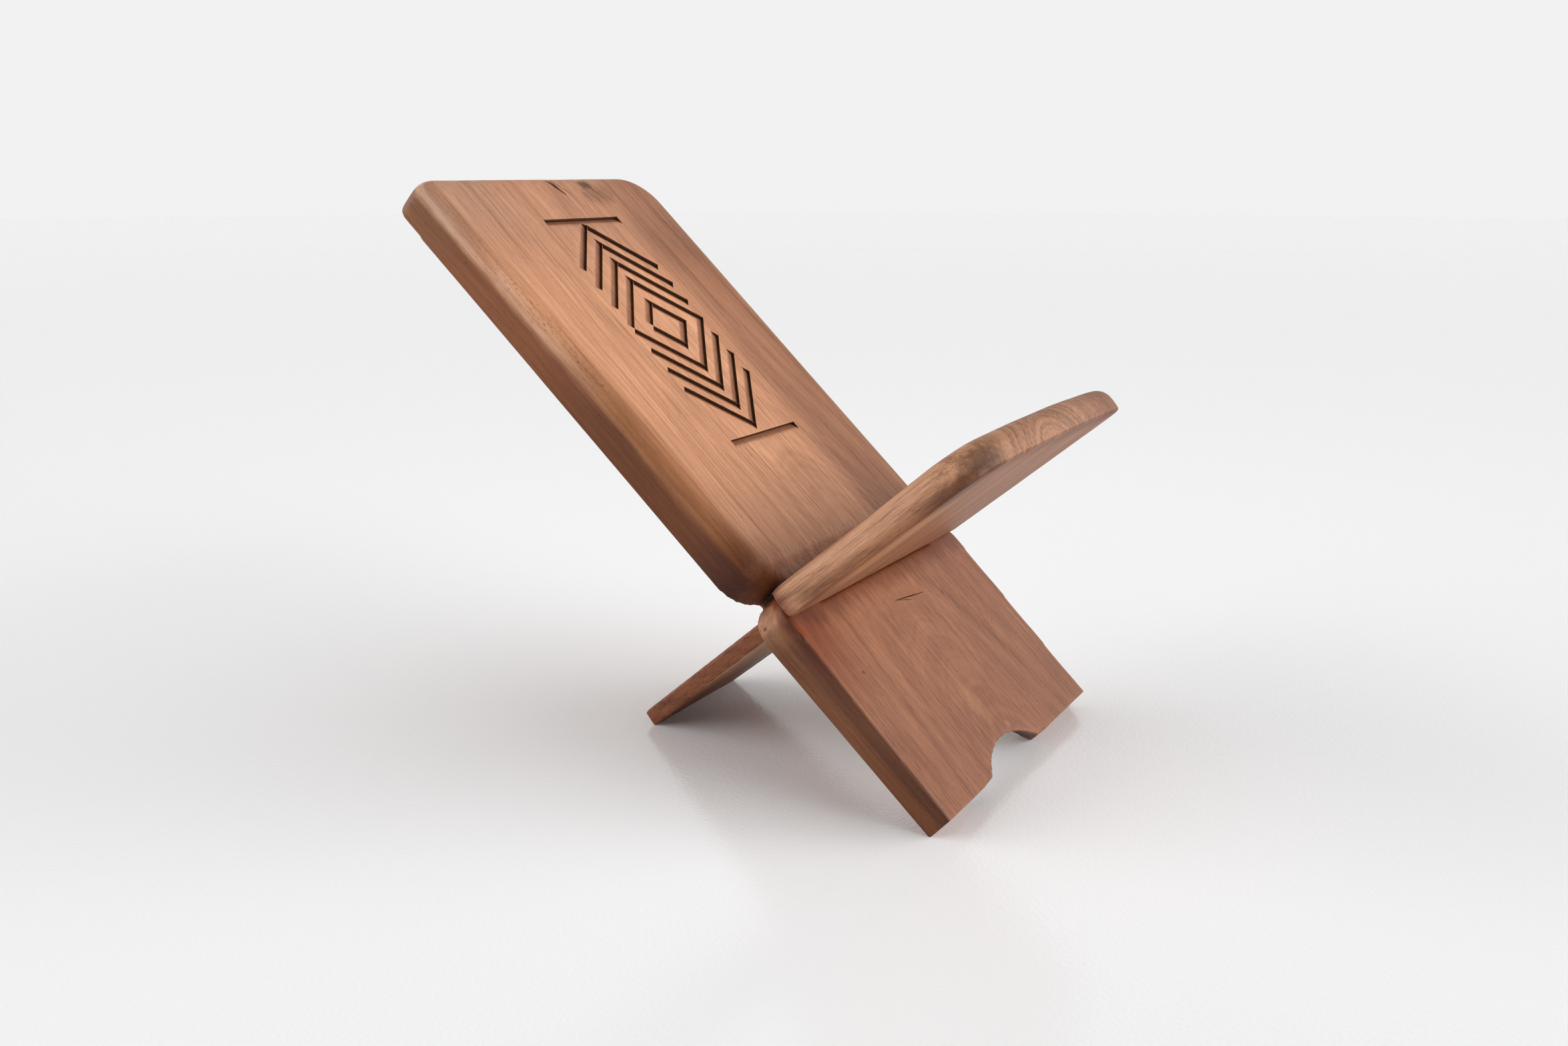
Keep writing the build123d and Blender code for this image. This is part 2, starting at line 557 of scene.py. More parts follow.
@dataclass(frozen=True)
class BackPlank:
    """Foot, waist with the slot, and carved backrest, in one plank."""

    lean: float = 42.6           # rear face above the floor
    foot_wear: float = 0.0015    # wood worn off the foot's lowest edge
    width: float = 0.350
    length: float = 0.7315
    slot_distance: float = 0.2153    # lower side of the slot, on the rear face
    notch_rise: float = 0.020    # bottom of the side notches above that side
    notch_gap: float = 0.006     # straight part of the notches, between their rounded lips
    notch_radius: float = 0.033  # those lips, which also set how far the notches cut in
    leg_foot: float = 0.026      # thickness at the foot
    leg_slot: float = 0.035      # thickness at the slot
    rest_low: float = 0.040      # thickness at the backrest's lower end
    rest_top: float = 0.046      # thickness at its top
    rest_right_corner: float = 0.014
    rest_left_corner: float = 0.048
    rest_round: float = 0.022    # rounded front edge of the backrest
    neck_lap: float = 0.025      # how far the neck runs on into the leg and the backrest
    arch_radius: float = 0.121
    arch_rise: float = 0.031     # crown of the arch above the floor
    arch_offset: float = -0.017
    knob_inset: float = 0.004    # from the plank's side to the middle of the knob
    knob_drop: float = 0.016     # from the notch's bottom to that middle
    knob_reach: float = 0.027
    corner_reach: float = 0.060
    lip_width: float = 0.011     # how far the arch's worn lip reaches from its edge
    lip_depth: float = 0.012     # how far it reaches behind the leg's front face
    lip_foot: float = 0.006      # height over the floor at which it begins
    facet: float = 0.0026
    dish: float = 0.0016         # how far the backrest's middle is sunk
    crease: float = 32.0         # angle from which an edge looks sharp
    tooling: HandTooling = HandTooling(seed=3.1)

    @property
    def notch_bottom(self) -> float:
        """Lower end of the side notches, up the wood."""
        return self.slot_distance + self.notch_rise

    @property
    def rest_bottom(self) -> float:
        """Upper end of the side notches, up the wood."""
        return self.notch_bottom + self.notch_gap

    @property
    def leg_slope(self) -> float:
        """How much thicker the leg grows for its length."""
        return (self.leg_slot - self.leg_foot) / self.slot_distance

    def leg_front(self, y: float) -> float:
        """Height of the leg's front face above the rear face."""
        return self.leg_foot + self.leg_slope * y

    @property
    def rest_slope(self) -> float:
        """How much thicker the backrest grows for its length."""
        return (self.rest_top - self.rest_low) / (self.length - self.rest_bottom)

    def rest_front(self, y: float) -> float:
        """Height of the backrest's front face above the rear face."""
        return self.rest_low + self.rest_slope * (y - self.rest_bottom)

    def matrix(self) -> Matrix:
        """Place of the plank's flat frame in the chair.

        Returns:
            The frame's turn and place.
        """
        low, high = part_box("back_plank")
        forward = self.leg_foot * math.sin(math.radians(self.lean))
        origin = Vector(((low.x + high.x) / 2, low.y + forward, -self.foot_wear))
        return Matrix.Translation(origin) @ Matrix.Rotation(math.radians(self.lean), 4, "X")

    def leg(self) -> Workpiece:
        """Shape the lower panel, with its rounded shoulders.

        Returns:
            The panel.
        """
        half = self.width / 2
        corners = [
            Corner(-half, 0.0),
            Corner(half, 0.0),
            Corner(half, self.notch_bottom, self.notch_radius),
            Corner(-half, self.notch_bottom, self.notch_radius),
        ]
        return Workpiece("leg", make_panel(corners, self.leg_front))

    def neck(self) -> Workpiece:
        """Shape the waist between the notches.

        Returns:
            The waist.
        """
        half = self.width / 2 - self.notch_radius
        low = self.notch_bottom - self.neck_lap
        high = self.rest_bottom + self.neck_lap
        corners = [Corner(-half, low), Corner(half, low), Corner(half, high), Corner(-half, high)]
        return Workpiece("neck", make_panel(corners, self.leg_front))

    def rest(self) -> Workpiece:
        """Shape the backrest, rounded towards the sitter.

        Returns:
            The backrest.
        """
        half = self.width / 2
        corners = [
            Corner(-half, self.rest_bottom, self.notch_radius),
            Corner(half, self.rest_bottom, self.notch_radius),
            Corner(half, self.length, self.rest_left_corner),
            Corner(-half, self.length, self.rest_right_corner),
        ]
        return Workpiece("rest", make_panel(corners, self.rest_front, self.rest_round))

    @property
    def arch_middle(self) -> float:
        """Height of the middle of the arch's circle, over the plank's unworn edge."""
        return self.arch_rise - self.arch_radius + self.foot_wear

    def arch(self) -> Workpiece:
        """Make the round cutter of the foot's arch, level from front to rear.

        Returns:
            The cutter, which is longer than the plank.
        """
        mesh = bmesh.new()
        bmesh.ops.create_cone(
            mesh,
            cap_ends=True,
            segments=ARCH_STEPS,
            radius1=self.arch_radius,
            radius2=self.arch_radius,
            depth=4 * self.length,
            matrix=Matrix.Rotation(math.radians(90), 4, "X"),
        )
        flat = Matrix.Rotation(-math.radians(self.lean), 4, "X")
        middle = Matrix.Translation((self.arch_offset, 0.0, self.arch_middle))
        bmesh.ops.transform(mesh, matrix=flat @ middle, verts=mesh.verts)
        return Workpiece("arch", mesh)

    @property
    def knob(self) -> Ball:
        """The knob where the leg meets the right notch."""
        side = -self.width / 2 + self.knob_inset
        return Ball(Vector((side, self.notch_bottom - self.knob_drop, self.leg_slot)), self.knob_reach)

    @property
    def top_corner(self) -> Ball:
        """The backrest's upper right corner."""
        return Ball(Vector((-self.width / 2, self.length, self.rest_top)), self.corner_reach)

    def on_arch_lip(self, place: Vector) -> bool:
        """Whether a point is on the front lip of the arch.

        Args:
            place: The point, in the flat frame.

        Returns:
            True on the lip.
        """
        level = Matrix.Rotation(math.radians(self.lean), 3, "X") @ place
        beyond = math.hypot(level.x - self.arch_offset, level.z - self.arch_middle) - self.arch_radius
        in_front = place.z > self.leg_front(place.y) - self.lip_depth
        return beyond < self.lip_width and in_front and level.z > self.lip_foot

    def hollow(self, place: Vector, normal: Vector) -> Vector:
        """Step that sinks the middle of the backrest's front a little.

        Args:
            place: A point of the surface, in the flat frame.
            normal: Which way the surface faces there, which changes nothing.

        Returns:
            The point's step.
        """
        if place.y < self.rest_bottom:
            return Vector()
        across = max(0.0, 1 - (2 * place.x / self.width) ** 2)
        middle = (self.rest_bottom + self.length) / 2
        along = max(0.0, 1 - ((place.y - middle) / (self.length - middle)) ** 2)
        return Vector((0.0, 0.0, -self.dish * across * along * place.z / self.rest_low))

    def build(
        self,
        seat: "SeatPlank",
        ornament: Ornament,
        checks: Sequence[Check],
        skins: Sequence[bpy.types.Material],
    ) -> bpy.types.Object:
        """Shape the whole plank and carry it to its place.

        Args:
            seat: The seat plank, whose tail the slot fits.
            ornament: The carving on the backrest.
            checks: Its drying cracks.
            skins: One material for each Skin.

        Returns:
            The finished plank.
        """
        plank = self.rest()
        plank.combine(self.neck(), Combine.JOIN)
        plank.combine(self.leg(), Combine.JOIN)
        plank.combine(seat.slot_cutter(self.matrix().inverted() @ seat.matrix()), Combine.REMOVE)
        plank.combine(self.arch(), Combine.REMOVE)
        plank.even_out(self.facet)
        plank.rub(Rubbing.ALL_OVER)
        plank.rub(Rubbing.KNOB, self.knob.holds)
        plank.rub(Rubbing.CORNER, self.top_corner.holds)
        plank.rub(Rubbing.ARCH_LIP, self.on_arch_lip)
        plank.press(self.tooling.move)
        plank.combine(ornament.cutter(self.rest_front), Combine.REMOVE)
        for check in checks:
            plank.combine(Workpiece("crack", check.sliver()), Combine.REMOVE)
        plank.press(self.hollow)
        plank.stand(self.matrix())
        return plank.finish("carved_back", self.crease, skins)


@dataclass(frozen=True)
class SeatPlank:
    """Tapering tail, which is the rear leg, and the seat board in front of the back plank."""

    tilt: float = 39.6              # underside above the floor
    foot_wear: float = 0.0015       # wood worn off the tail's lowest edge
    tail_thickness: float = 0.0172
    tail_foot_width: float = 0.151
    tail_slot_width: float = 0.235  # in front of the slot
    tail_reach: float = 0.2286      # from the foot to the slot's rear end
    shoulder_reach: float = 0.2638  # from the foot to the slot's front end
    board_length: float = 0.220     # from there to the front corners
    board_bow: float = 0.013        # how far the middle of the front edge stands out
    board_rear_width: float = 0.348
    board_front_width: float = 0.370
    board_drop: float = 0.002       # board's underside below the tail's
    board_rear: float = 0.0284      # thickness at the shoulders
    board_front: float = 0.031      # thickness at the front corners
    right_corner: float = 0.046
    left_corner: float = 0.023
    board_round: float = 0.018      # rounded upper edge
    rear_rounding: float = 0.45     # share of that rounding which is left at the shoulders
    squared: float = 0.110          # how far in front of the shoulders it is full again
    slot_clearance: float = 0.0004
    shoulder_clearance: float = 0.0003
    bow_steps: int = 24             # cuts across the front edge
    facet: float = 0.0022
    dish: float = 0.0012            # how far the board's middle is sunk
    crease: float = 40.0            # angle from which an edge looks sharp
    tooling: HandTooling = HandTooling(seed=8.4)

    def matrix(self) -> Matrix:
        """Place of the plank's flat frame in the chair.

        Returns:
            The frame's turn and place.
        """
        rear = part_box("seat_plank")[1].y
        left, right = (corner.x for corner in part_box("back_plank"))
        sine, cosine = math.sin(math.radians(self.tilt)), math.cos(math.radians(self.tilt))
        origin = Vector(((left + right) / 2, rear - self.tail_thickness * sine, -self.foot_wear))
        turn = Matrix(((-1.0, 0.0, 0.0), (0.0, -cosine, sine), (0.0, sine, cosine)))
        return Matrix.Translation(origin) @ turn.to_4x4()

    @property
    def corner_line(self) -> float:
        """Distance of the front corners up the wood."""
        return self.shoulder_reach + self.board_length

    def tail_corners(self, high: float, spare: float = 0.0) -> list[Corner]:
        """Outline of the tail, from its foot to a distance up the wood.

        Args:
            high: That distance.
            spare: How much wider than the tail it is on each side.

        Returns:
            The outline's corners.
        """
        foot = self.tail_foot_width / 2 + spare
        slope = (self.tail_slot_width - self.tail_foot_width) / 2 / self.shoulder_reach
        top = foot + slope * high
        return [Corner(-foot, 0.0), Corner(foot, 0.0), Corner(top, high), Corner(-top, high)]

    def tail(self) -> Workpiece:
        """Shape the tapering rear leg."""
        corners = self.tail_corners(self.shoulder_reach + self.board_round)
        return Workpiece("tail", make_panel(corners, lambda y: self.tail_thickness))

    def slot_cutter(self, matrix: Matrix) -> Workpiece:
        """Make the tail with its running clearance, to cut the slot.

        Args:
            matrix: From this plank's flat frame to the back plank's.

        Returns:
            The cutter, in the back plank's flat frame.
        """
        spare = self.slot_clearance
        corners = self.tail_corners(self.corner_line, spare)
        cutter = Workpiece("slot", make_panel(corners, lambda y: self.tail_thickness + 2 * spare))
        cutter.place(matrix @ Matrix.Translation((0.0, 0.0, -spare)))
        return cutter

    def board_top(self, y: float) -> float:
        """Height of the board's upper face above its underside."""
        rise = (self.board_front - self.board_rear) / self.board_length
        return self.board_rear + rise * (y - self.shoulder_reach)

    def board(self) -> Workpiece:
        """Shape the seat board, before its shoulders are fitted.

        Returns:
            The board.
        """
        rear, front, line = self.board_rear_width / 2, self.board_front_width / 2, self.corner_line
        corners = [
            Corner(-rear, self.tail_reach),
            Corner(rear, self.tail_reach),
            Corner(front, line, self.right_corner),
            Corner(-front, line, self.left_corner),
        ]
        mesh = make_panel(corners, self.board_top)
        straight = [
            edge
            for edge in mesh.edges
            if min(vert.co.y for vert in edge.verts) > line - TINY
            and abs(edge.verts[0].co.x - edge.verts[1].co.x) > front
        ]
        bmesh.ops.subdivide_edges(mesh, edges=straight, cuts=self.bow_steps)
        for vert in mesh.verts:
            share = max(0.0, (vert.co.y - self.tail_reach) / (line - self.tail_reach))
            vert.co.y += self.board_bow * (1 - (vert.co.x / front) ** 2) * share**2
        bevel(mesh, rim_edges(mesh), self.board_round, EDGE_STEPS, Rounded.EDGES)
        for vert in mesh.verts:
            self.square_up(vert)
        board = Workpiece("board", mesh)
        board.place(Matrix.Translation((0.0, 0.0, -self.board_drop)))
        return board

    def square_up(self, vert: bmesh.types.BMVert) -> None:
        """Tighten the rounded upper edge towards the rear, where a hand hardly wears it.

        Args:
            vert: A vertex of the board, which is moved where it is in that edge.
        """
        share = min(1.0, max(0.0, (vert.co.y - self.shoulder_reach) / self.squared))
        keep = self.rear_rounding + (1 - self.rear_rounding) * share
        along = (vert.co.y - self.tail_reach) / (self.corner_line - self.tail_reach)
        side = (self.board_rear_width + (self.board_front_width - self.board_rear_width) * along) / 2
        inwards = side - abs(vert.co.x)
        down = self.board_top(vert.co.y) - vert.co.z
        if keep < 1.0 and inwards < self.board_round and down < self.board_round:
            vert.co.x = math.copysign(side - inwards * keep, vert.co.x)
            vert.co.z += down * (1 - keep)

    def hollow(self, place: Vector, normal: Vector) -> Vector:
        """Step that sinks the middle of the seat's upper face a little.

        Args:
            place: A point of the surface, in the flat frame.
            normal: Which way the surface faces there, which changes nothing.

        Returns:
            The point's step.
        """
        if place.y < self.shoulder_reach:
            return Vector()
        across = max(0.0, 1 - (2 * place.x / self.board_rear_width) ** 2)
        share = (place.y - self.shoulder_reach) / self.board_length
        along = max(0.0, 4 * share * (1 - share))
        return Vector((0.0, 0.0, -self.dish * across * along * max(0.0, place.z) / self.board_rear))

    def fit_shoulders(self, board: Workpiece, back: BackPlank) -> None:
        """Saw the board's rear end along the leg's front face, less the clearance.

        Args:
            board: The board, in this plank's flat frame.
            back: The back plank.
        """
        to_back = back.matrix().inverted() @ self.matrix()
        outward = to_back.to_3x3().transposed() @ Vector((0.0, back.leg_slope, -1.0)).normalized()
        face = to_back.inverted() @ Vector((0.0, 0.0, back.leg_foot + self.shoulder_clearance))
        board.trim(face, outward)

    def build(self, back: BackPlank, skins: Sequence[bpy.types.Material]) -> bpy.types.Object:
        """Shape the whole plank and carry it to its place.

        Args:
            back: The back plank, which the shoulders stop against.
            skins: One material for each Skin.

        Returns:
            The finished plank.
        """
        plank = self.board()
        self.fit_shoulders(plank, back)
        plank.combine(self.tail(), Combine.JOIN)
        plank.even_out(self.facet)
        plank.rub(Rubbing.ALL_OVER)
        plank.press(self.tooling.move)
        plank.press(self.hollow)
        plank.stand(self.matrix())
        return plank.finish("seat_and_tail", self.crease, skins)


# --------------------------------------------------------------------------------------------------
# Shader maths
# --------------------------------------------------------------------------------------------------


class Shade:
    """A number that varies over a surface, for use in Python expressions."""

    def __init__(self, bench: "NodeBench", socket: bpy.types.NodeSocket) -> None:
        """Wrap a socket of a material's node tree."""
        self.bench = bench
        self.socket = socket

    def math(self, operation: str, *others: Number, clamp: bool = False) -> "Shade":
        """Add one Math node.

        Args:
            operation: The node's operation.
            others: Its second and third values.
            clamp: Whether its result is kept between 0 and 1.

        Returns:
            The result.
        """
        return self.bench.math(operation, self, *others, clamp=clamp)

    def __add__(self, other: Number) -> "Shade":
        """Sum."""
        return self.math("ADD", other)

    __radd__ = __add__

    def __sub__(self, other: Number) -> "Shade":
        """Difference."""
        return self.math("SUBTRACT", other)

    def __rsub__(self, other: Number) -> "Shade":
        """Difference, from the other side."""
        return self.bench.math("SUBTRACT", other, self)

    def __mul__(self, other: Number) -> "Shade":
        """Product."""
        return self.math("MULTIPLY", other)

    __rmul__ = __mul__

    def __truediv__(self, other: Number) -> "Shade":
        """Quotient."""
        return self.math("DIVIDE", other)

    def root(self) -> "Shade":
        """Square root."""
        return self.math("SQRT")

    def clamped(self) -> "Shade":
        """The number, kept between 0 and 1."""
        return self.math("ADD", 0.0, clamp=True)

    def step(self, low: float, high: float) -> "Shade":
        """Smooth step from 0 at low to 1 at high.

        Args:
            low: Where the step begins.
            high: Where it is complete, which may be the smaller of the two.

        Returns:
            The step.
        """
        inputs = {"Value": self, "From Min": low, "From Max": high}
        node = self.bench.node("ShaderNodeMapRange", {"interpolation_type": "SMOOTHSTEP"}, inputs)
        return Shade(self.bench, node.outputs["Result"])


class NodeBench:
    """The node tree of a material or of the world."""

    def __init__(self, owner: Union[bpy.types.Material, bpy.types.World]) -> None:
        """Start an empty tree for its owner.

        Args:
            owner: The material or world.
        """
        self.owner = owner
        owner.use_nodes = True
        self.tree = owner.node_tree
        self.tree.nodes.clear()

    def node(
        self, kind: str, settings: Optional[dict] = None, inputs: Optional[dict] = None
    ) -> bpy.types.Node:
        """Add one node.

        Args:
            kind: The node's type.
            settings: Its properties, which are set first. A ramp's stops are "stops".
            inputs: Values or links of its sockets, by name or number.

        Returns:
            The node.
        """
        node = self.tree.nodes.new(kind)
        settings = dict(settings or {})
        for place, (position, colour) in enumerate(settings.pop("stops", ())):
            elements = node.color_ramp.elements
            element = elements[place] if place < len(elements) else elements.new(position)
            element.position = position
            element.color = (*colour, 1.0)
        for key, value in settings.items():
            setattr(node, key, value)
        for key, value in (inputs or {}).items():
            self.feed(node.inputs[key], value)
        return node

    def feed(self, socket: bpy.types.NodeSocket, value: Any) -> None:
        """Link a socket, or set its value.

        Args:
            socket: The input.
            value: A shade, an output, a number, a vector, or a colour, which becomes opaque.
        """
        if isinstance(value, Shade):
            value = value.socket
        if isinstance(value, bpy.types.NodeSocket):
            self.tree.links.new(value, socket)
        elif isinstance(value, tuple) and len(socket.default_value) > len(value):
            socket.default_value = (*value, 1.0)
        else:
            socket.default_value = value

    def math(self, operation: str, *values: Number, clamp: bool = False) -> Shade:
        """Add a Math node on any mix of values and shades.

        Args:
            operation: The node's operation.
            values: Its numbers.
            clamp: Whether its result is kept between 0 and 1.

        Returns:
            The result.
        """
        settings = {"operation": operation, "use_clamp": clamp}
        node = self.node("ShaderNodeMath", settings, dict(enumerate(values)))
        return Shade(self, node.outputs[0])

    def noise(self, x: Number, y: Number, z: Number, detail: float = 2.0, roughness: float = 0.5) -> Shade:
        """Add cloudy noise from 0 to 1, one cloud to the unit.

        Args:
            x: Place across.
            y: Place along.
            z: Place in depth.
            detail: How many finer noises are laid over it.
            roughness: How strong those are.

        Returns:
            The noise.
        """
        place = self.node("ShaderNodeCombineXYZ", inputs={"X": x, "Y": y, "Z": z}).outputs[0]
        inputs = {"Vector": place, "Scale": 1.0, "Detail": detail, "Roughness": roughness}
        node = self.node("ShaderNodeTexNoise", {"noise_dimensions": "3D"}, inputs)
        return Shade(self, node.outputs["Fac"])

    def mix(
        self, share: Number, first: Any, second: Any, blend: Blend = Blend.COVER
    ) -> bpy.types.NodeSocket:
        """Blend two colours.

        Args:
            share: How much of the second shows, from 0 to 1.
            first: A colour, or a link to one.
            second: A colour, or a link to one.
            blend: How the second lies over the first.

        Returns:
            The blended colour.
        """
        settings = {"data_type": "RGBA", "blend_type": blend.value}
        node = self.node("ShaderNodeMix", settings, {0: share, 6: first, 7: second})
        return node.outputs[2]

    def ramp(self, share: Number, stops: Sequence[tuple[float, Colour]]) -> bpy.types.NodeSocket:
        """Colour from a ramp of stops."""
        return self.node("ShaderNodeValToRGB", {"stops": stops}, {"Fac": share}).outputs["Color"]


# --------------------------------------------------------------------------------------------------
# Finishes
# --------------------------------------------------------------------------------------------------


@dataclass(frozen=True)
class Pattern:
    """Noise whose spots are drawn out up the wood, with their size in millimetres."""

    across: float
    along: float
    detail: float = 2.0
    roughness: float = 0.5


@dataclass(frozen=True)
class FlatPlace:
    """Place on the surface, in millimetres of its plank's flat frame."""

    bench: NodeBench
    x: Shade
    y: Shade
    z: Shade
    seed: float     # shifts every pattern

    @classmethod
    def on(cls, bench: NodeBench, matrix: Matrix, seed: float) -> "FlatPlace":
        """Read the place from the object's own coordinates.

        Args:
            bench: The material's node tree.
            matrix: Place of the plank's flat frame in the chair.
            seed: Shift of every pattern.

        Returns:
            The place.
        """
        inputs = {
            "Vector": bench.node("ShaderNodeTexCoord").outputs["Object"],
            "Location": matrix.to_translation(),
            "Rotation": matrix.to_euler(),
            "Scale": Vector((MM, MM, MM)),
        }
        mapping = bench.node("ShaderNodeMapping", {"vector_type": "TEXTURE"}, inputs)
        parts = bench.node("ShaderNodeSeparateXYZ", inputs={0: mapping.outputs[0]}).outputs
        return cls(bench, *(Shade(bench, part) for part in parts), seed)

    @property
    def parts(self) -> tuple[Shade, Shade, Shade]:
        """The three coordinates."""
        return self.x, self.y, self.z

    def noise(self, pattern: Pattern) -> Shade:
        """Noise from 0 to 1 in a pattern."""
        x, y, z = self.x / pattern.across, self.y / pattern.along, self.z / pattern.across
        return self.bench.noise(x, y, z + self.seed, pattern.detail, pattern.roughness)

    def wander(self, pattern: Pattern) -> Shade:
        """The same noise, from -0.5 to 0.5."""
        return self.noise(pattern) - 0.5


@dataclass(frozen=True)
class Rings:
    """Growth rings round a pith that leans and bends, in millimetres of the plank's flat frame."""

    pith_x: float = 0.0
    pith_depth: float = 60.0        # behind the plank's rear face, at its lower end
    pith_lean: float = 0.20         # how much deeper for each millimetre up the wood
    pith_turn: float = 430.0        # where up the wood that lean ends
    turn_blend: float = 160.0       # how gently it ends
    pith_drift: float = 0.03        # how much deeper the pith goes besides, all the way up
    straight_side: float = 0.25     # how much of the lean the right-hand side keeps
    side_fade: Range = (-115.0, -15.0)    # across the plank, from that side to the full lean
    bend: Pattern = Pattern(75.0, 300.0)
    warp: float = 10.0              # how far the rings bend
    line: float = 2.6               # width of a fine growth line
    line_roughness: float = 0.6
    lining: float = 0.45            # strength of the fine lines
    band: float = 12.0              # width of a broad one
    band_shift: float = 5.0         # keeps the broad ones apart from the fine ones
    banding: float = 0.90           # strength of the broad ones
    run: float = 1500.0             # how far up the wood a line keeps its tone

    def tone(self, place: FlatPlace) -> Shade:
        """What the rings add to the wood's tone.

        Args:
            place: Place on the surface.

        Returns:
            The tone, which is lighter above 0 and darker below.
        """
        kept = self.straight_side + (1 - self.straight_side) * place.x.step(*self.side_fade)
        climb = place.y.math("SMOOTH_MIN", self.pith_turn, self.turn_blend) * self.pith_lean * kept
        depth = place.z + self.pith_depth + climb + place.y * self.pith_drift
        across = place.x - self.pith_x
        distance = (across * across + depth * depth).root() + place.wander(self.bend) * self.warp
        run = place.y / self.run
        lines = place.bench.noise(distance / self.line, run, place.seed, roughness=self.line_roughness)
        bands = place.bench.noise(distance / self.band, run, place.seed + self.band_shift)
        return (bands - 0.5) * self.banding + (lines - 0.5) * self.lining


@dataclass(frozen=True)
class Figure:
    """One kind of figure in the grain, with what it does to the tone and to the surface."""

    pattern: Pattern
    tone: float
    relief: float = 0.0


@dataclass(frozen=True)
class Mark:
    """A mark in the wood, in its plank's flat frame, in millimetres; one of them is painted shade in a
    crevice.
    """

    kind: Blemish
    centre: tuple[float, float, float]
    size: tuple[float, float, float]
    strength: float
    ragged: float = 0.9     # how uneven its edge is


@dataclass(frozen=True)
class Span:
    """A soft edge across one direction of a plank's flat frame, in millimetres."""

    axis: tuple[float, float, float]
    none: float             # how far along the axis it begins
    full: float             # how far along the axis it is complete


@dataclass(frozen=True)
class Zone:
    """Part of a plank with its own tint, from handling, wear and the run of the grain, and in some places
    painted shade and a painted highlight.
    """

    tint: Colour
    spans: tuple[Span, ...]
    ragged: float = 6.0     # how far its edges wander, in millimetres


